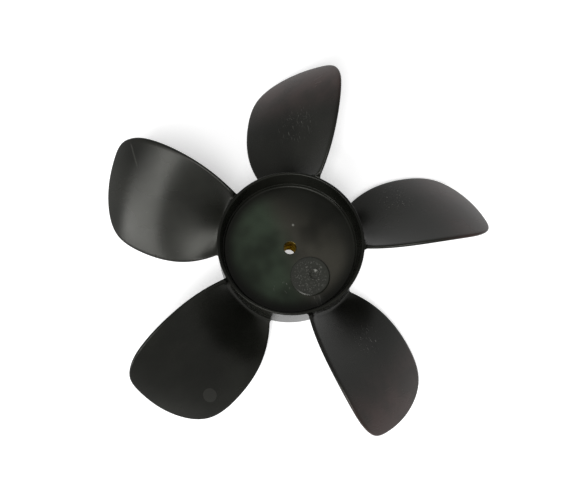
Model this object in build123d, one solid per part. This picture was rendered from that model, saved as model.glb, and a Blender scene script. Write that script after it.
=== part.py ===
from build123d import *

import os
from math import cos, radians, sin, tan

# Axial fan impeller: a cup hub with five blades moulded as one piece of black
# plastic round a brass shaft bush. Millimetres. The origin is on the shaft axis
# in the middle of the bush, +Z points to the open front of the cup, and the
# middle line of the first blade lies over +X.

# Whole impeller
tip_diameter = 254.0
blade_count = 5

# Shaft bush
bore_diameter = 8.0
bush_diameter = 13.0
bush_length = 21.5
bush_cover = 1.6
bore_chamfer = 0.4

# Hub cup
hub_diameter = 91.0
hub_depth = 30.0
rim_above_bush = 15.25
rim_wall = 1.9
rim_chamfer = 0.5
ledge_diameter = 83.2
ledge_width = 0.7
ledge_drop = 13.4
floor_drop = 15.0
floor_chamfer = 1.0
web_thickness = 2.5
skirt_wall = 2.1
skirt_draft_angle = 2.0
skirt_chamfer = 1.2

# Boss and ribs behind the web
boss_wall = 4.0
boss_draft_angle = 2.0
rib_count = 10
rib_thickness = 1.6
rib_setback = 2.5

# Blades
blade_thickness = 2.2
pitch_angle = 41.2
crest_drop = 12.6
crest_diameter = 170.0
tip_sweep_back = 11.5
tip_curl_back = 4.1
root_bow_radius = 21.5
bow_growth = 3.73

# Gate pad on the cup floor
pad_diameter = 25.0
pad_height = 0.8
pad_chamfer = 0.3
pad_offset = 22.4
pad_angle = -72.0
gate_diameter = 6.6
gate_height = 1.4
gate_dimple_diameter = 3.2
gate_dimple_depth = 0.9
gate_offset = 23.0
gate_angle = -65.5

# Each point of the blade's outline in plan: its share of the span from the hub
# to the tip circle, and its angle from the blade's middle line. The first six
# run out along the edge nearer the front, the rest back along the swept edge.
blade_outline = [
    (-0.03, -20.9),
    (0.20, -20.7),
    (0.50, -18.0),
    (0.76, -15.5),
    (0.91, -13.5),
    (0.98, -11.4),
    (1.00, -7.6),
    (0.97, 3.0),
    (0.87, 11.6),
    (0.64, 18.2),
    (0.34, 23.5),
    (-0.03, 20.9),
]

# Places that follow from the sizes
hub_radius = hub_diameter / 2
tip_radius = tip_diameter / 2
crest_radius = crest_diameter / 2
bush_radius = bush_diameter / 2
boss_radius = bush_radius + boss_wall
bush_top = bush_length / 2
bush_bottom = -bush_length / 2
rim_top = bush_top + rim_above_bush
ledge_top = rim_top - ledge_drop
floor_top = rim_top - floor_drop
web_bottom = floor_top - web_thickness
hub_bottom = rim_top - hub_depth

# How far the hub's blank and the cutting tools run past the finished faces, and
# the sheet that a blade is cut from past its outline
blank_margin = 9.0
trim_angle = 60.0
surface_margin = 0.7
surface_steps = 16
surface_tolerance = 0.02


def polar_point(radius, angle, height=0.0):
    """Point at a radius, an angle in radians from +X, and a height."""
    return Vector(radius * cos(angle), radius * sin(angle), height)


def blade_height(radius, angle):
    """Height of a blade's middle surface: a helix of constant pitch, bowed along
    its chord and swept back from its crest towards the tip."""
    reach = (radius - crest_radius) / (tip_radius - crest_radius)
    spine = rim_top - crest_drop - tip_sweep_back * reach**2 - tip_curl_back * reach**3
    along = radius * angle
    bow_radius = root_bow_radius * (radius / hub_radius) ** bow_growth
    return spine - along * tan(radians(pitch_angle)) + along**2 / (2 * bow_radius)


def blade_surface():
    """Smooth sheet through the blade's middle, a little larger than the blade."""
    span = tip_radius - hub_radius
    inner = hub_radius + span * min(share for share, _ in blade_outline) - surface_margin
    outer = tip_radius + surface_margin
    widest = radians(max(abs(angle) for _, angle in blade_outline)) + surface_margin / hub_radius
    grid = []
    for row in range(surface_steps + 1):
        radius = inner + (outer - inner) * row / surface_steps
        angles = [widest * (2 * column / surface_steps - 1) for column in range(surface_steps + 1)]
        grid.append([polar_point(radius, angle, blade_height(radius, angle)) for angle in angles])
    return Face.make_surface_from_array_of_points(grid, tol=surface_tolerance, max_deg=5)


def blade_plan():
    """Flat outline of the blade as seen along the shaft."""
    span = tip_radius - hub_radius
    points = [polar_point(hub_radius + span * share, radians(angle)) for share, angle in blade_outline]
    edge = Spline(*points)
    return Face(Wire([edge.edge(), Line(points[-1], points[0]).edge()]))


def blade():
    """One blade: two skins, each the sheet cut to its outline, with a straight-walled edge between."""
    sheet = (blade_surface() & extrude(blade_plan(), tip_diameter, both=True)).face()
    pitch = radians(pitch_angle)
    forwards = Vector(0, sin(pitch), cos(pitch)) * blade_thickness
    rear, front = sheet.translate(forwards * -0.5), sheet.translate(forwards * 0.5)
    edge = Shell.make_loft([rear.outer_wire(), front.outer_wire()], ruled=True)
    return Solid(Shell([rear, front, *edge.faces()]))


def bladed_blank():
    """Plain round blank with the blades grown out of it."""
    height = hub_depth + 2 * blank_margin
    blank = Cylinder(hub_radius, height, align=(Align.CENTER, Align.CENTER, Align.MIN))
    blank = Pos(0, 0, hub_bottom - blank_margin) * Rot(0, 0, 180 / blade_count) * blank
    return blank + PolarLocations(0, blade_count) * blade()


def front_cut():
    """What is cut away in front: the cup's inside and all that is above the rim."""
    inner = hub_radius - rim_wall
    ledge = ledge_diameter / 2
    clear = tip_radius
    rise = (clear - hub_radius) * tan(radians(trim_angle))
    top = rim_top + rise + blank_margin
    outline = [
        (0, floor_top),
        (ledge - floor_chamfer, floor_top),
        (ledge, floor_top + floor_chamfer),
        (ledge, ledge_top),
        (ledge + ledge_width, ledge_top),
        (inner, rim_top - rim_chamfer),
        (inner + rim_chamfer, rim_top),
        (hub_radius - rim_chamfer, rim_top),
        (hub_radius, rim_top - rim_chamfer),
        (clear, rim_top + rise),
        (clear, top),
        (0, top),
    ]
    return revolve(Plane.XZ * make_face(Polyline(*outline, close=True)), Axis.Z)


def rear_cut():
    """What is cut away behind: the skirt's inside and all that is below its edge."""
    slope = tan(radians(skirt_draft_angle))
    inner = hub_radius - skirt_wall
    shoulder = inner - (web_bottom - hub_bottom) * slope
    clear = tip_radius
    drop = (clear - hub_radius) * tan(radians(trim_angle))
    bottom = hub_bottom - drop - blank_margin
    outline = [
        (0, web_bottom),
        (shoulder - skirt_chamfer, web_bottom),
        (shoulder + skirt_chamfer * slope, web_bottom - skirt_chamfer),
        (inner, hub_bottom),
        (hub_radius, hub_bottom),
        (clear, hub_bottom - drop),
        (clear, bottom),
        (0, bottom),
    ]
    return revolve(Plane.XZ * make_face(Polyline(*outline, close=True)), Axis.Z)


def boss():
    """Tapered boss that carries the bush behind the web."""
    length = web_bottom - bush_bottom
    foot_radius = boss_radius + length * tan(radians(boss_draft_angle))
    cone = Cone(boss_radius, foot_radius, length, align=(Align.CENTER, Align.CENTER, Align.MIN))
    return Pos(0, 0, bush_bottom) * cone


def rib():
    """Radial rib from the boss to the skirt, its free edge rising towards the skirt."""
    top = web_bottom + web_thickness / 2
    end = hub_radius - skirt_wall / 2
    outline = [
        (bush_radius, top),
        (bush_radius, hub_bottom),
        (boss_radius, hub_bottom),
        (end, hub_bottom + rib_setback),
        (end, top),
    ]
    plate = Plane.XZ * make_face(Polyline(*outline, close=True))
    return extrude(plate, rib_thickness / 2, both=True)


def gate_pad():
    """Raised round pad on the cup floor with the stub of the moulding gate on it."""
    upright = (Align.CENTER, Align.CENTER, Align.MIN)
    pad = Cylinder(pad_diameter / 2, pad_height + web_thickness / 2, align=upright)
    pad = chamfer(pad.edges().group_by(Axis.Z)[-1], pad_chamfer)
    pad = Rot(0, 0, pad_angle) * Pos(pad_offset, 0, floor_top - web_thickness / 2) * pad
    stub_height = gate_height + pad_height / 2
    stub = Cylinder(gate_diameter / 2, stub_height, align=upright)
    dimple = Cone(0, gate_dimple_diameter / 2, gate_dimple_depth, align=(Align.CENTER, Align.CENTER, Align.MAX))
    stub -= Pos(0, 0, stub_height) * dimple
    return pad + Rot(0, 0, gate_angle) * Pos(gate_offset, 0, floor_top + pad_height / 2) * stub


def hub_bush():
    """Turned brass bush with a bore for the shaft, chamfered at both ends."""
    bore = bore_diameter / 2
    outline = [
        (bore, bush_bottom + bore_chamfer),
        (bore + bore_chamfer, bush_bottom),
        (bush_radius, bush_bottom),
        (bush_radius, bush_top),
        (bore + bore_chamfer, bush_top),
        (bore, bush_top - bore_chamfer),
    ]
    return revolve(Plane.XZ * make_face(Polyline(*outline, close=True)), Axis.Z)


def impeller_moulding():
    """Hub cup, web, boss, ribs, gate pad and blades, moulded as one piece."""
    body = bladed_blank() - front_cut() - rear_cut()
    body += boss()
    body += PolarLocations(0, rib_count) * rib()
    body += gate_pad()
    opening = Cylinder(bush_radius - bush_cover, rim_top, align=(Align.CENTER, Align.CENTER, Align.MIN))
    return body - Cylinder(bush_radius, bush_length) - opening


os.makedirs("parts", exist_ok=True)
export_step(impeller_moulding(), "parts/impeller_moulding.step")
export_step(hub_bush(), "parts/hub_bush.step")
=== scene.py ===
import bmesh
import bpy
import math
import numpy as np
from mathutils import Matrix, Vector


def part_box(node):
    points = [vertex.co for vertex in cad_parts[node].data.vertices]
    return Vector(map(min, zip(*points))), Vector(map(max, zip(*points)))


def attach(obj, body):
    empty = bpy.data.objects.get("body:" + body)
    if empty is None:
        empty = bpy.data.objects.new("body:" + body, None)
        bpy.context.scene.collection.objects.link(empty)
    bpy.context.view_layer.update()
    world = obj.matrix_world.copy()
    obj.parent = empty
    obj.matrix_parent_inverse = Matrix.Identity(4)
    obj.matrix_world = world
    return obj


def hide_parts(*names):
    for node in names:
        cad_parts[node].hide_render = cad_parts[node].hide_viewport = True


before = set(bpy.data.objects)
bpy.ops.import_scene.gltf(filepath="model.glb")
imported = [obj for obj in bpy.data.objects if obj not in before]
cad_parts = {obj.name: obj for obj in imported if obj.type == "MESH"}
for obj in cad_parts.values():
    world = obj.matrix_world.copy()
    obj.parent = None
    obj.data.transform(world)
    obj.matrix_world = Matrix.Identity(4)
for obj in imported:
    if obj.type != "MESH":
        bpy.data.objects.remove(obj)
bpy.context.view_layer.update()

# ---------------------------------------------------------------- cup hub
# The cup in the middle carries the five blades. It is one ring of black plastic:
# rim, wall, ledge, floor and, behind the floor, the skirt and the boss that is
# moulded round the brass bush. A thin lip of the floor laps over the bush's end.
mm = 0.001
moulding_low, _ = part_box("impeller_moulding")
bush_low, bush_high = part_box("hub_bush")
bush_radius, bush_top, bush_bottom = bush_high.x / mm, bush_high.z / mm, bush_low.z / mm
hub_radius = 45.5
hub_depth = 30.0
rim_radius = 43.6
rim_crown = 0.94
rim_above_bush = 15.25
rim_top = bush_top + rim_above_bush
ledge_outer, ledge_inner = 42.3, 41.6
ledge_drop = 13.4
ledge_top = rim_top - ledge_drop
ledge_edge, ledge_slope = 0.08, 0.4
floor_drop = 15.0
floor_top = rim_top - floor_drop
floor_fillet = 1.4
web_thickness = 2.5
web_bottom = floor_top - web_thickness
hub_bottom = rim_top - hub_depth
skirt_radius, skirt_shoulder = 43.4, 42.96
skirt_fillet = 1.5
boss_tip, boss_foot = 10.5, 11.17
boss_fillet = 1.0
bush_lip = 4.15
lip_edge = 0.1
broken_edge = 0.25
arc_steps = 10
hub_turns = 288
crease = math.radians(40)
merge_distance = 1e-7


def rounded(corners):
    """Outline through (radius, height, rounding) corners, with each corner rounded."""
    outline = []
    for index, (x, y, rounding) in enumerate(corners):
        here = np.array([x, y])
        if rounding == 0:
            outline.append(here)
            continue
        before = np.array(corners[index - 1][:2]) - here
        after = np.array(corners[(index + 1) % len(corners)][:2]) - here
        before, after = before / np.linalg.norm(before), after / np.linalg.norm(after)
        half = math.acos(np.clip(before @ after, -1, 1)) / 2
        middle = here + (before + after) / np.linalg.norm(before + after) * rounding / math.sin(half)
        start = here + before * rounding / math.tan(half) - middle
        end = here + after * rounding / math.tan(half) - middle
        sweep = math.pi - 2 * half
        for step in range(arc_steps + 1):
            share = step / arc_steps
            arc = start * math.sin((1 - share) * sweep) + end * math.sin(share * sweep)
            outline.append(middle + arc / math.sin(sweep))
    return np.array(outline)


def solid(name, points, faces):
    """Closed smooth object from points in metres, its doubles merged and its faces outwards."""
    mesh = bpy.data.meshes.new(name)
    mesh.from_pydata([tuple(point) for point in points], [], faces)
    shape = bmesh.new()
    shape.from_mesh(mesh)
    bmesh.ops.remove_doubles(shape, verts=shape.verts, dist=merge_distance)
    bmesh.ops.recalc_face_normals(shape, faces=shape.faces)
    shape.to_mesh(mesh)
    shape.free()
    mesh.shade_smooth()
    mesh.set_sharp_from_angle(angle=crease)
    made = bpy.data.objects.new(name, mesh)
    bpy.context.scene.collection.objects.link(made)
    return made


def turned(name, outline, steps, axis=(0, 0)):
    """Closed outline of radius and height turned round an upright axis, its flats kept flat."""
    angles = np.arange(steps) * 2 * math.pi / steps
    radius, height = outline[:, 0][:, None], outline[:, 1][:, None]
    x = axis[0] + radius * np.cos(angles)
    y = axis[1] + radius * np.sin(angles)
    points = np.stack([x, y, height + 0 * angles], axis=-1).reshape(-1, 3) * mm
    faces = []
    for row in range(len(outline)):
        ahead = (row + 1) % len(outline)
        for step in range(steps):
            beside = (step + 1) % steps
            near, far = row * steps, ahead * steps
            faces.append((near + step, far + step, far + beside, near + beside))
    made = solid(name, points, faces)
    made.modifiers.new("flat_faces", "WEIGHTED_NORMAL").keep_sharp = True
    return made


class Wire:
    """One value of a node tree: arithmetic on it adds the Math nodes."""

    def __init__(self, tree, socket=None):
        self.tree = tree
        self.socket = socket

    def node(self, kind, settings=None, values=None, output=0):
        """Adds any node: its settings first, then the values or wires of its sockets."""
        made = self.tree.nodes.new(kind)
        for name, value in (settings or {}).items():
            setattr(made, name, value)
        for name, value in (values or {}).items():
            if isinstance(value, Wire):
                self.tree.links.new(value.socket, made.inputs[name])
            else:
                made.inputs[name].default_value = value
        return Wire(self.tree, made.outputs[output])

    def math(self, operation, *values):
        return self.node("ShaderNodeMath", {"operation": operation}, dict(enumerate(values)))

    def __add__(self, other):
        return self.math("ADD", self, other)

    def __radd__(self, other):
        return self.math("ADD", other, self)

    def __sub__(self, other):
        return self.math("SUBTRACT", self, other)

    def __rsub__(self, other):
        return self.math("SUBTRACT", other, self)

    def __mul__(self, other):
        return self.math("MULTIPLY", self, other)

    def __rmul__(self, other):
        return self.math("MULTIPLY", other, self)

    def __truediv__(self, other):
        return self.math("DIVIDE", self, other)

    def __rtruediv__(self, other):
        return self.math("DIVIDE", other, self)

    def __pow__(self, other):
        return self.math("POWER", self, other)

    def capped(self):
        return self.math("MINIMUM", self, 1.0)

    def unsigned(self):
        return self.math("ABSOLUTE", self)

    def between(self, low, high):
        """0 below the low value, 1 above the high one, and smooth between them."""
        ranged = {"Value": self, "From Min": low, "From Max": high}
        return self.node("ShaderNodeMapRange", {"interpolation_type": "SMOOTHSTEP"}, ranged)

    def mix(self, factor, under, over):
        """Colour that goes from the one under to the one over as the factor goes to 1."""
        values = {"Factor": factor, 6: under, 7: over}
        return self.node("ShaderNodeMix", {"data_type": "RGBA"}, values, output=2)

    def feed(self, shader, name):
        self.tree.links.new(self.socket, shader.inputs[name])


class Surface(Wire):
    """New material: its shader, and a place on the piece in metres to make patterns from."""

    def __init__(self, name):
        self.material = bpy.data.materials.new(name)
        self.material.use_nodes = True
        super().__init__(self.material.node_tree)
        self.shader = self.tree.nodes["Principled BSDF"]
        self.place = self.node("ShaderNodeTexCoord", output="Object")
        apart = self.node("ShaderNodeSeparateXYZ", None, {"Vector": self.place}).socket.node
        self.x, self.y, self.z = (Wire(self.tree, socket) for socket in apart.outputs)

    def noise(self, scale, detail=2, stretch=(1, 1, 1), turn=0.0):
        """Cloudy noise, drawn out along an upright plane's direction where it is stretched."""
        values = {"Vector": self.place, "Scale": stretch, "Rotation": (0, 0, math.radians(turn))}
        moved = self.node("ShaderNodeMapping", None, values)
        values = {"Vector": moved, "Scale": scale, "Detail": detail, "Roughness": 0.55}
        return self.node("ShaderNodeTexNoise", None, values)

    def away(self, x, y):
        """Distance in mm from an upright line through a point given in mm."""
        dx, dy = self.x * 1000 - x, self.y * 1000 - y
        return (dx * dx + dy * dy) ** 0.5

    def spot(self, x, y, core, edge):
        """1 inside the core radius round a point, 0 outside the edge radius."""
        return 1 - self.away(x, y).between(core, edge)

    def sheen(self, tint, level):
        """Sets the tint and strength of mirrored light, the same all over the piece."""
        self.shader.inputs["Specular Tint"].default_value = tint
        self.shader.inputs["Specular IOR Level"].default_value = level

    def finish(self, base, roughness, height, strength, depth):
        """Feeds the shader with its colour, roughness and bump."""
        values = {"Strength": strength, "Distance": depth * mm, "Height": height}
        base.feed(self.shader, "Base Color")
        roughness.feed(self.shader, "Roughness")
        self.node("ShaderNodeBump", None, values).feed(self.shader, "Normal")
        return self.material


coal, soot = (0.0025, 0.0027, 0.0020, 1), (0.0075, 0.0078, 0.0062, 1)
green_haze, brown_haze = (0.030, 0.042, 0.028, 1), (0.038, 0.036, 0.029, 1)
# Grey of the scuffs and scratches, also used for the one painted glint on the cup's floor.
scuff_and_glint_grey = (0.16, 0.16, 0.145, 1)
# Places in mm: the streaks below the gate pad, the painted glint, and two patches of nicks.
streak_place, glint_place = (7, -37.5), (6.05, 13.8)
nick_place, small_nick_place = (-12, -22), (23, -10)
cool_tint = (1.0, 1.0, 0.93, 1)
hub_sheen = 0.09


def hub_plastic(name, hazed_and_shaded=True):
    """Black plastic of the hub: on the cup's floor a dull film, faded out near the wall and towards one
    side as painted shade, a few scuff marks and one painted glint.
    """
    made = Surface(name)
    cloud, streaks = made.noise(30, 3), made.noise(75, 4, stretch=(1, 3, 1))
    grain = made.noise(950)
    base = made.mix(cloud.between(0.35, 0.7), coal, soot)
    scuffs_and_glint = 0.0
    if hazed_and_shaded:
        # Painted shade: the dust film below fades out near the wall and towards one side, where the floor
        # lies in shade.
        inside = made.spot(0, 0, 31, 40.8)
        above_web = made.z.between((floor_top - 0.4) * mm, (floor_top - 0.1) * mm)
        low = above_web * (1 - made.z.between((floor_top + 1.5) * mm, (floor_top + 2.5) * mm))
        shaded = (made.x * 0.72 + made.y * 0.69).between(0.004, 0.034)
        # The film's strength: dust, with the painted shade of the two masks above taken out of it.
        film_and_painted_shade = inside * low * (1 - shaded) * (0.35 + 0.65 * made.noise(38, 2).between(0.3, 0.62))
        tone = made.mix((made.x + 0.010 * cloud).between(-0.006, 0.012), green_haze, brown_haze)
        base = made.mix(film_and_painted_shade, base, tone)
        radial = made.noise(1000, 3, stretch=(1, 0.12, 1)).between(0.50, 0.64)
        brushed = made.spot(*streak_place, 1.0, 6.0) * (0.15 + 0.85 * radial)
        nicks = made.noise(520, 1, stretch=(1, 0.4, 1), turn=40).between(0.66, 0.70)
        nicked = (made.spot(*nick_place, 2, 7) + made.spot(*small_nick_place, 1, 3) * 0.3) * nicks
        # Painted highlight: a small pale spot where the cup's floor shows a bright glint.
        painted_glint = made.spot(*glint_place, 0.5, 1.0)
        scuffs_and_glint = low * (0.75 * brushed + 0.7 * nicked + 0.9 * painted_glint)
        base = made.mix(scuffs_and_glint, base, scuff_and_glint_grey)
    roughness = 0.21 + 0.08 * cloud + 0.04 * streaks + 0.1 * scuffs_and_glint
    made.sheen(cool_tint, hub_sheen)
    return made.finish(base, roughness, 0.5 * grain + 0.8 * streaks, 0.09, 0.2)


cup_outline = rounded([
    (bush_lip, bush_top, 0),
    (bush_lip, floor_top, lip_edge),
    (ledge_inner, floor_top, floor_fillet),
    (ledge_inner, ledge_top - ledge_slope, ledge_edge),
    (ledge_inner + ledge_slope, ledge_top, ledge_edge),
    (ledge_outer, ledge_top, 2 * ledge_edge),
    (rim_radius, rim_top, rim_crown),
    (hub_radius, rim_top, rim_crown),
    (hub_radius, hub_bottom, broken_edge),
    (skirt_radius, hub_bottom, broken_edge),
    (skirt_shoulder, web_bottom, skirt_fillet),
    (boss_foot, web_bottom, boss_fillet),
    (boss_tip, bush_bottom, broken_edge),
    (bush_radius, bush_bottom, 0),
    (bush_radius, bush_top, 0),
])
cup_hub = turned("cup_hub", cup_outline, hub_turns)
cup_hub.data.materials.append(hub_plastic("hub_plastic"))
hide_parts("impeller_moulding")
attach(cup_hub, "root")

# ---------------------------------------------------------------- blades
# Five thin blades grow out of the cup's wall on rounded roots. Each is a twisted,
# hollowed sheet of the same plastic with a rounded edge; all five are one shape,
# turned round the shaft.
blade_count = 5
tip_radius = 127.0
blade_thickness = 2.2
edge_round = 1.0
root_round = 2.5
root_depth = 0.9
pitch = math.radians(41.2)
crest_radius, crest_drop = 85.0, 12.6
tip_sweep_back, tip_curl_back = 11.5, 4.1
root_bow_radius, bow_growth = 21.5, 3.73
rim_slope = math.tan(math.radians(60))
rim_clearance = 0.4
fillet_rows, span_rows, cap_rows, chord_columns, edge_steps = 9, 46, 14, 40, 10
cap_share = 0.90
outline_samples = 4000
cap_margin = 1.0
normal_step = 0.01
# Colour of the warm sheen painted on some blade tips, and of the pin mark.
painted_warm_sheen, pin_grey = (0.040, 0.024, 0.022, 1), (0.03, 0.03, 0.027, 1)
blade_sheen = 0.14
pin_place, pin_core, pin_edge = (-72.8, -73.6), 3.9, 4.2
right_graze, lower_graze, top_graze = (79, 16), (30, -69), (27, 78)
graze_place, graze_core, graze_edge = (-79, 81), 0.0002, 0.0006

# Each point of the outline: its share of the span and its angle from the middle line.
blade_outline = [
    (-0.03, -20.9), (0.20, -20.7), (0.50, -18.0), (0.76, -15.5), (0.91, -13.5), (0.98, -11.4),
    (1.00, -7.6), (0.97, 3.0), (0.87, 11.6), (0.64, 18.2), (0.34, 23.5), (-0.03, 20.9),
]


def middle_surface(radius, angle):
    """Points of the blade's middle surface at radii in mm and angles in radians."""
    reach = (radius - crest_radius) / (tip_radius - crest_radius)
    spine = rim_top - crest_drop - tip_sweep_back * reach**2 - tip_curl_back * reach**3
    along = radius * angle
    bow = root_bow_radius * (radius / hub_radius) ** bow_growth
    height = spine - along * math.tan(pitch) + along**2 / (2 * bow)
    return np.stack([radius * np.cos(angle), radius * np.sin(angle), height], axis=-1)


def unit(vectors):
    return vectors / np.linalg.norm(vectors, axis=-1, keepdims=True)


def surface_normal(radius, angle):
    """Upward normals of the middle surface."""
    out = middle_surface(radius + normal_step, angle) - middle_surface(radius - normal_step, angle)
    turn = normal_step / radius
    across = middle_surface(radius, angle + turn) - middle_surface(radius, angle - turn)
    return unit(np.cross(out, across))


def curve_through(points, samples):
    """Smooth cubic curve through points, sampled evenly in chord length."""
    points = np.array(points, float)
    knots = np.concatenate([[0], np.cumsum(np.linalg.norm(np.diff(points, axis=0), axis=1))])
    gaps = np.diff(knots)
    count = len(points)
    system, target = np.zeros((count, count)), np.zeros((count, 2))
    system[0, :2] = 1, -1
    system[-1, -2:] = -1, 1
    for row in range(1, count - 1):
        before, after = gaps[row - 1], gaps[row]
        system[row, row - 1:row + 2] = before, 2 * (before + after), after
        slope_before = (points[row] - points[row - 1]) / before
        slope_after = (points[row + 1] - points[row]) / after
        target[row] = 6 * (slope_after - slope_before)
    bend = np.linalg.solve(system, target)
    place = np.linspace(0, knots[-1], samples)
    piece = np.clip(np.searchsorted(knots, place) - 1, 0, count - 2)
    gap = gaps[piece][:, None]
    ahead = (knots[piece + 1] - place)[:, None]
    behind = (place - knots[piece])[:, None]
    cubic = (bend[piece] * ahead**3 + bend[piece + 1] * behind**3) / (6 * gap)
    start = (points[piece] / gap - bend[piece] * gap / 6) * ahead
    end = (points[piece + 1] / gap - bend[piece + 1] * gap / 6) * behind
    return cubic + start + end


def blade_grid():
    """Radius and angle of a grid on the blade, the root's flare by row, and the way out at its edge."""
    span = tip_radius - hub_radius
    share, turn = np.array(blade_outline).T
    turn = np.radians(turn)
    plan = (hub_radius + span * share)[:, None] * np.stack([np.cos(turn), np.sin(turn)], axis=-1)
    rim = curve_through(plan, outline_samples)
    radius, angle = np.hypot(rim[:, 0], rim[:, 1]), np.arctan2(rim[:, 1], rim[:, 0])
    edge = middle_surface(radius, angle)
    out = unit(np.cross(unit(np.gradient(edge, axis=0)), surface_normal(radius, angle)))
    inner = edge - edge_round * out
    radius, angle = np.hypot(inner[:, 0], inner[:, 1]), np.arctan2(inner[:, 1], inner[:, 0])
    top = int(np.argmax(radius))

    # Rows of equal radius, close together on the root's fillet, up to the cap.
    cap_radius = hub_radius + span * cap_share
    turns = np.linspace(0, math.pi / 2, fillet_rows)
    fillet = hub_radius + root_round * (1 - np.cos(turns))
    beyond = np.linspace(fillet[-1], cap_radius, span_rows)[1:]
    rows = np.concatenate([[hub_radius - root_depth], fillet, beyond])
    flare = np.concatenate([[root_round], root_round * (1 - np.sin(turns)), np.zeros(span_rows - 1)])
    across = np.linspace(0, 1, chord_columns + 1)

    def at(side, wanted, key):
        """Angle, radius and way out on a stretch of the outline, where its key has the wanted values."""
        order = np.argsort(key[side])
        known = key[side][order]
        found = [np.interp(wanted, known, values[side][order]) for values in (angle, radius, *out.T)]
        return found[0], found[1], unit(np.stack(found[2:], axis=-1))

    lead_angle, _, lead_out = at(slice(0, top), rows, radius)
    tail_angle, _, tail_out = at(slice(top, None), rows, radius)
    over_cap = (angle > lead_angle[-1]) & (angle < tail_angle[-1]) & (radius > cap_radius - cap_margin)
    cap_angle = lead_angle[-1] + (tail_angle[-1] - lead_angle[-1]) * across
    _, cap_edge, cap_out = at(np.flatnonzero(over_cap), cap_angle, angle)
    cap_edge[[0, -1]] = cap_radius

    grid_radius = [np.full(chord_columns + 1, row) for row in rows]
    grid_angle = [low + (high - low) * across for low, high in zip(lead_angle, tail_angle)]
    for step in range(1, cap_rows + 1):
        grid_radius.append(cap_radius + (cap_edge - cap_radius) * step / cap_rows)
        grid_angle.append(cap_angle)
    return np.array(grid_radius), np.array(grid_angle), flare, (lead_out, cap_out, tail_out)


def blade_mesh():
    """Points and faces of the first blade: two skins, the rolled edge between and the root's flare."""
    radius, angle, flare, (lead_out, cap_out, tail_out) = blade_grid()
    rows, columns = radius.shape
    ring_rows = len(flare)
    grow = np.concatenate([flare, np.zeros(rows - ring_rows)])[:, None, None]
    middle, normal = middle_surface(radius, angle), surface_normal(radius, angle)

    # Near the root everything turns from square to the blade to lying along the cup's wall.
    reach = np.concatenate([radius[:ring_rows, 0], np.full(rows - ring_rows, tip_radius)])
    near_root = 1 - np.clip((reach - hub_radius - root_round) / (2 * root_round), 0, 1)
    near_root = (near_root**2 * (3 - 2 * near_root))[:, None, None]
    radial = np.stack([np.cos(angle), np.sin(angle), 0 * angle], axis=-1)

    def along_wall(vectors, outwards, weight):
        """Directions turned to lie along the cup's wall, as far as the weight says."""
        flat = unit(vectors - outwards * np.sum(vectors * outwards, axis=-1, keepdims=True))
        return unit(vectors * (1 - weight) + flat * weight)

    def seated(points, row_radius, weight):
        """Points drawn back to their row's radius and kept below the rim."""
        reached = np.hypot(points[..., 0], points[..., 1])
        over = np.clip(points[..., 2] - (rim_top - rim_crown), 0, rim_crown)
        seat = rim_crown - np.sqrt(rim_crown**2 - over**2)
        wanted = reached * (1 - weight) + (row_radius - seat * weight) * weight
        points = points * np.stack([wanted / reached, wanted / reached, 1 + 0 * reached], axis=-1)
        roof = rim_top - rim_clearance + np.clip(wanted - hub_radius, 0, None) * rim_slope
        points[..., 2] = np.minimum(points[..., 2], roof)
        return points

    normal = along_wall(normal, radial, near_root)
    half = blade_thickness / 2
    front = seated(middle + normal * (half + grow), radius, near_root[..., 0])
    back = seated(middle - normal * (half + grow), radius, near_root[..., 0])

    # The boundary runs out along one side, over the tip and back along the other.
    sides = np.arange(ring_rows)
    path = [(row, 0) for row in sides] + [(rows - 1, column) for column in range(1, columns - 1)]
    path += [(row, columns - 1) for row in sides[::-1]]
    at_row, at_column = np.array(path).T
    weight = near_root[at_row, 0]
    outward = np.concatenate([lead_out, cap_out[1:-1], tail_out[::-1]])
    outward = along_wall(outward, radial[at_row, at_column], weight)
    points = [front.reshape(-1, 3), back.reshape(-1, 3)]
    for step in range(1, edge_steps):
        roll = math.pi * step / edge_steps
        wide = math.sin(roll) * (edge_round + grow[at_row, 0])
        tall = math.cos(roll) * (half + grow[at_row, 0])
        rolled = middle[at_row, at_column] + wide * outward + tall * normal[at_row, at_column]
        points.append(seated(rolled, radius[at_row, at_column], weight[:, 0]))

    skin = rows * columns
    faces = []
    for row in range(rows - 1):
        for column in range(columns - 1):
            corner = row * columns + column
            quad = [corner, corner + 1, corner + columns + 1, corner + columns]
            faces += [quad, [skin + index for index in reversed(quad)]]
    first = list(at_row * columns + at_column)
    starts = [2 * skin + step * len(path) for step in range(edge_steps - 1)]
    strips = [first] + [list(range(start, start + len(path))) for start in starts]
    strips.append([skin + index for index in first])
    for near, far in zip(strips, strips[1:]):
        faces += [[near[step], far[step], far[step + 1], near[step + 1]] for step in range(len(path) - 1)]

    # The root's end, inside the cup's wall, is closed.
    faces += [[column, skin + column, skin + column + 1, column + 1] for column in range(columns - 1)]
    faces += [[strip[end] for strip in strips] for end in (0, -1)]
    return np.concatenate(points) * mm, faces


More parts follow.
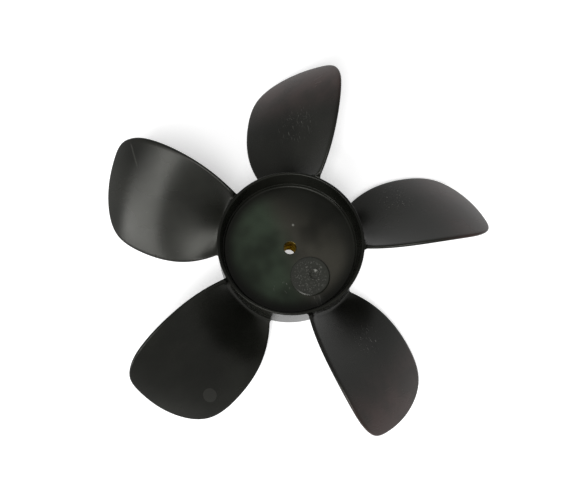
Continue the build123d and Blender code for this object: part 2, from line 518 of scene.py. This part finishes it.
def blade_plastic():
    """Black plastic of the blades, with a warm sheen painted on the tips on one side, flow lines and
    scratches.
    """
    made = Surface("blade_plastic")
    cloud, patches = made.noise(24, 3), made.noise(46, 3)
    flow = made.noise(70, 4, stretch=(1, 3.2, 1))
    grain = made.noise(950)
    base = made.mix(cloud.between(0.35, 0.7), coal, soot)
    # Painted reflection: a warm sheen on the blade tips on one side of the shaft, in patches.
    tips = made.away(0, 0).between(84, 118) * made.x.between(-0.01, 0.02)
    base = made.mix(tips * (0.4 + 0.6 * patches.between(0.35, 0.6)), base, painted_warm_sheen)

    # Scratches lie in a few patches, and one tip has a faint graze near its edge.
    lines = made.noise(900, 2, stretch=(1, 0.12, 1), turn=35).between(0.64, 0.68)
    dots = made.noise(1100, 1).between(0.71, 0.74)
    grazed = made.spot(*right_graze, 4, 15) + made.spot(*lower_graze, 3, 13)
    grazed = grazed + 0.5 * made.spot(*top_graze, 4, 16)
    beside_graze = (made.x - graze_place[0] * mm).unsigned()
    graze_line = made.spot(*graze_place, 5, 8) * (1 - beside_graze.between(graze_core, graze_edge))
    scratches = grazed * (0.55 * lines + 0.6 * dots) + 0.10 * graze_line
    base = made.mix(scratches.capped(), base, scuff_and_glint_grey)

    # The round mark that an ejector pin left on one blade.
    pin_mark = made.spot(*pin_place, pin_core, pin_edge)
    roughness = 0.20 + 0.08 * cloud + 0.04 * flow + 0.12 * scratches + 0.07 * pin_mark
    base = made.mix(0.35 * pin_mark, base, pin_grey)
    height = 0.5 * grain + 0.8 * flow + 1.5 * pin_mark
    made.sheen(cool_tint, blade_sheen)
    return made.finish(base, roughness, height, 0.09, 0.2)


def round_the_shaft():
    """Tree that repeats a mesh at equal turns round the shaft and gives it its material."""
    tree = bpy.data.node_groups.new("round_the_shaft", "GeometryNodeTree")
    sockets = tree.interface
    sockets.new_socket("Geometry", in_out="INPUT", socket_type="NodeSocketGeometry")
    sockets.new_socket("Copies", in_out="INPUT", socket_type="NodeSocketInt")
    sockets.new_socket("Material", in_out="INPUT", socket_type="NodeSocketMaterial")
    sockets.new_socket("Geometry", in_out="OUTPUT", socket_type="NodeSocketGeometry")
    wire = Wire(tree)
    given = tree.nodes.new("NodeGroupInput")
    shape, copies, material = (Wire(tree, given.outputs[index]) for index in range(3))
    spots = wire.node("GeometryNodePoints", None, {"Count": copies})
    turn = wire.node("GeometryNodeInputIndex") * (2 * math.pi / copies)
    turned_by = wire.node("ShaderNodeCombineXYZ", None, {"Z": turn})
    values = {"Points": spots, "Instance": shape, "Rotation": turned_by}
    placed = wire.node("GeometryNodeInstanceOnPoints", None, values)
    real = wire.node("GeometryNodeRealizeInstances", None, {"Geometry": placed})
    dressed = wire.node("GeometryNodeSetMaterial", None, {"Geometry": real, "Material": material})
    result = tree.nodes.new("NodeGroupOutput")
    tree.links.new(dressed.socket, result.inputs["Geometry"])
    return tree


shaft_pattern = round_the_shaft()


def repeat_round_shaft(piece, copies, material):
    """Gives the piece its copies round the shaft, as one plain mesh."""
    modifier = piece.modifiers.new("copies", "NODES")
    modifier.node_group = shaft_pattern
    given = {"Copies": copies, "Material": material}
    for item in shaft_pattern.interface.items_tree:
        if item.in_out == "INPUT" and item.name in given:
            modifier[item.identifier] = given[item.name]
    evaluated = piece.evaluated_get(bpy.context.evaluated_depsgraph_get())
    plain = bpy.data.meshes.new_from_object(evaluated)
    piece.modifiers.clear()
    piece.data = plain


blades = solid("blades", *blade_mesh())
repeat_round_shaft(blades, blade_count, blade_plastic())
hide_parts("impeller_moulding")
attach(blades, "root")

# ---------------------------------------------------------------- rear ribs
# Ten thin ribs behind the cup's floor tie the boss to the skirt. They are moulded
# with it and run into both, and their free edge rises towards the skirt.
rib_count = 10
rib_thickness = 1.6
rib_setback = 2.5
rib_bevel = 0.25
rib_overlap = 1.0
bevel_segments = 3
rib_side = [
    (bush_radius + rib_overlap, web_bottom + rib_overlap),
    (bush_radius + rib_overlap, hub_bottom),
    (boss_tip, hub_bottom),
    (hub_radius - rib_overlap, hub_bottom + rib_setback),
    (hub_radius - rib_overlap, web_bottom + rib_overlap),
]
corners = len(rib_side)
rib_points = [(x * mm, side * rib_thickness / 2 * mm, z * mm) for side in (-1, 1) for x, z in rib_side]
rib_faces = [list(range(corners)), list(range(2 * corners - 1, corners - 1, -1))]
rib_faces += [
    [(step + 1) % corners, step, corners + step, corners + (step + 1) % corners] for step in range(corners)
]
ribs = solid("rear_ribs", rib_points, rib_faces)
soften = ribs.modifiers.new("soften", "BEVEL")
soften.width = rib_bevel * mm
soften.segments = bevel_segments
repeat_round_shaft(ribs, rib_count, hub_plastic("rib_plastic", hazed_and_shaded=False))
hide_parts("impeller_moulding")
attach(ribs, "root")

# ---------------------------------------------------------------- gate pad
# The plastic was fed into the mould through a gate on this low round pad on the
# cup's floor. What is left of the gate is a low ring with a crumb in its hollow.
pad_radius, pad_height, pad_edge = 12.5, 0.8, 0.3
slope_width, slope_drop = 0.85, 0.40
pad_offset, pad_angle = 22.4, math.radians(-72)
gate_radius, gate_height, gate_edge = 3.7, 0.9, 0.1
hollow_radius, hollow_floor, hollow_depth, hollow_edge = 3.3, 2.0, 0.75, 0.3
gate_offset, gate_angle = 23.0, math.radians(-65.5)
crumb_radius, crumb_height, crumb_edge, crumb_shift = 0.75, 0.8, 0.25, (-0.9, 0.1)
gate_turns = 96
pad_sheen = 0.3
worn_film = (0.009, 0.010, 0.007, 1)
root_below_floor = 0.6
sunk = floor_top - root_below_floor
pad_top = floor_top + pad_height
gate_top = pad_top + gate_height
hollow_bottom = gate_top - hollow_depth


def round_axis(offset, angle, shift=(0, 0)):
    """Place in plan at a distance from the shaft and an angle, with a small shift."""
    return offset * math.cos(angle) + shift[0], offset * math.sin(angle) + shift[1]


def pad_plastic():
    """Black plastic left rough and mottled where the gate was cut off."""
    made = Surface("pad_plastic")
    cloud, mottle = made.noise(60, 3), made.noise(1150, 3)
    inside = made.spot(*round_axis(pad_offset, pad_angle), 8.5, 12.0)
    base = made.mix(0.3 + 0.7 * cloud.between(0.35, 0.7), soot, worn_film)
    crumbs = inside * mottle.between(0.55, 0.68)
    base = made.mix(0.5 * crumbs, base, scuff_and_glint_grey)
    roughness = 0.22 + 0.10 * cloud + 0.12 * crumbs
    made.sheen(cool_tint, pad_sheen)
    return made.finish(base, roughness, mottle * (0.15 + 0.85 * inside), 0.5, 0.3)


gate_plastic = pad_plastic()
gate_pieces = {
    "gate_pad": (round_axis(pad_offset, pad_angle), [
        (0, sunk, 0), (0, pad_top, 0), (pad_radius - slope_width, pad_top, pad_edge),
        (pad_radius, pad_top - slope_drop, pad_edge), (pad_radius, sunk, 0),
    ]),
    "gate_ring": (round_axis(gate_offset, gate_angle), [
        (0, sunk, 0), (0, hollow_bottom, 0), (hollow_floor, hollow_bottom, hollow_edge),
        (hollow_radius, gate_top, gate_edge), (gate_radius, gate_top, gate_edge), (gate_radius, sunk, 0),
    ]),
    "gate_crumb": (round_axis(gate_offset, gate_angle, crumb_shift), [
        (0, sunk, 0), (0, hollow_bottom + crumb_height, 0),
        (crumb_radius, hollow_bottom + crumb_height, crumb_edge), (crumb_radius, sunk, 0),
    ]),
}
for name, (axis, outline) in gate_pieces.items():
    piece = turned(name, rounded(outline), gate_turns, axis)
    piece.data.materials.append(gate_plastic)
    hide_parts("impeller_moulding")
    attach(piece, "root")


# ---------------------------------------------------------------- brass bush
# The bush that grips the motor's shaft, turned from brass and moulded into the boss.
# It keeps the frame's own mesh, and has gone dull and brown in patches.
bright_brass, dull_brass = (0.22, 0.155, 0.035, 1), (0.045, 0.033, 0.010, 1)
brass_edge_tint = (0.45, 0.36, 0.16, 1)


def turned_brass():
    """Brass with fine turning rings and a brown tarnish in patches."""
    made = Surface("turned_brass")
    patches = made.noise(350, 4)
    rings = made.noise(900, 1, stretch=(0.2, 0.2, 3))
    base = made.mix(patches.between(0.4, 0.65), bright_brass, dull_brass)
    made.shader.inputs["Metallic"].default_value = 1.0
    made.shader.inputs["Specular Tint"].default_value = brass_edge_tint
    return made.finish(base, 0.30 + 0.25 * patches, rings, 0.15, 0.05)


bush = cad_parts["hub_bush"]
bush.data.materials.clear()
bush.data.materials.append(turned_brass())

# ---------------------------------------------------------------- studio
# White floor under the part and a white sky round it, the camera, and three soft
# lamps: one from near the camera, one half way down from it, and one low and long.
floor_size = 6.0
floor_gap = 0.0002
floor_glow = 0.5
floor_white, floor_roughness = (0.9, 0.9, 0.9, 1), 0.9
pure_black, pure_white = (0, 0, 0, 1), (1, 1, 1, 1)
floor_height = moulding_low.z - floor_gap
floor_sides = ((-1, -1), (1, -1), (1, 1), (-1, 1))
floor_corners = [(x * floor_size / 2, y * floor_size / 2, floor_height) for x, y in floor_sides]
mesh = bpy.data.meshes.new("floor")
mesh.from_pydata(floor_corners, [], [(0, 1, 2, 3)])
floor = bpy.data.objects.new("floor", mesh)
bpy.context.scene.collection.objects.link(floor)
white = Surface("floor_white")
white.shader.inputs["Base Color"].default_value = floor_white
white.shader.inputs["Roughness"].default_value = floor_roughness


def seen_rays(wire):
    """1 for what the camera sees, straight, mirrored or through glass."""
    names = ("Is Camera Ray", "Is Glossy Ray", "Is Transmission Ray")
    seen = [wire.node("ShaderNodeLightPath", output=name) for name in names]
    return (seen[0] + seen[1] + seen[2]).capped()


white.shader.inputs["Emission Strength"].default_value = floor_glow
white.mix(seen_rays(white), pure_black, pure_white).feed(white.shader, "Emission Color")
floor.data.materials.append(white.material)

sky_light = 0.13
world = bpy.data.worlds.new("studio")
world.use_nodes = True
sky = Wire(world.node_tree)
background = world.node_tree.nodes["Background"]
background.inputs["Color"].default_value = pure_white
(sky_light + (1 - sky_light) * seen_rays(sky)).feed(background, "Strength")
bpy.context.scene.world = world

eye_turn, eye_pitch, eye_roll = 0.286470, -0.248009, 0.0417448
view_scale, view_distance = 0.61342, 713.487
view_shift = (2.62875, 7.36049)
image_width = 577
sensor_width = 36.0
view = Matrix.Rotation(eye_pitch, 3, "X") @ Matrix.Rotation(eye_roll, 3, "Y")
view = view @ Matrix.Rotation(eye_turn, 3, "Z")
eye = view.transposed() @ Vector((-view_shift[0], -view_shift[1], view_distance)) * view_scale
eye.z += rim_top
camera_data = bpy.data.cameras.new("camera")
camera_data.sensor_width = sensor_width
camera_data.lens = view_distance / image_width * sensor_width
camera = bpy.data.objects.new("camera", camera_data)
camera.matrix_world = Matrix.Translation(eye * mm) @ view.transposed().to_4x4()
bpy.context.scene.collection.objects.link(camera)
bpy.context.scene.camera = camera

lamp_distance = 2.4


def lamp(name, azimuth, elevation, tilt, size, power):
    """Soft lamp, placed by its direction as the camera sees it, aimed at the hub and tilted."""
    data = bpy.data.lights.new(name, "AREA")
    data.shape = "RECTANGLE"
    data.size, data.size_y = size
    data.energy = power
    made = bpy.data.objects.new(name, data)
    turn, rise, lean = math.radians(azimuth), math.radians(elevation), math.radians(tilt)
    aim = Vector((math.cos(turn) * math.cos(rise), math.sin(turn) * math.cos(rise), math.sin(rise)))
    along = Vector((-math.sin(turn), math.cos(turn), 0))
    long_side = along * math.cos(lean) + aim.cross(along) * math.sin(lean)
    axes = [view.transposed() @ axis for axis in (long_side, aim.cross(long_side), aim)]
    made.matrix_world = Matrix.Translation(axes[2] * lamp_distance) @ Matrix(axes).transposed().to_4x4()
    bpy.context.scene.collection.objects.link(made)


lamp("ceiling", 255, 78, 0, (0.9, 0.9), 30)
lamp("window_above", 245, 54, 0, (1.15, 0.6), 30)
lamp("window_left", 214, 23, 47, (1.4, 0.3), 26)

bpy.context.scene.view_settings.view_transform = "Standard"
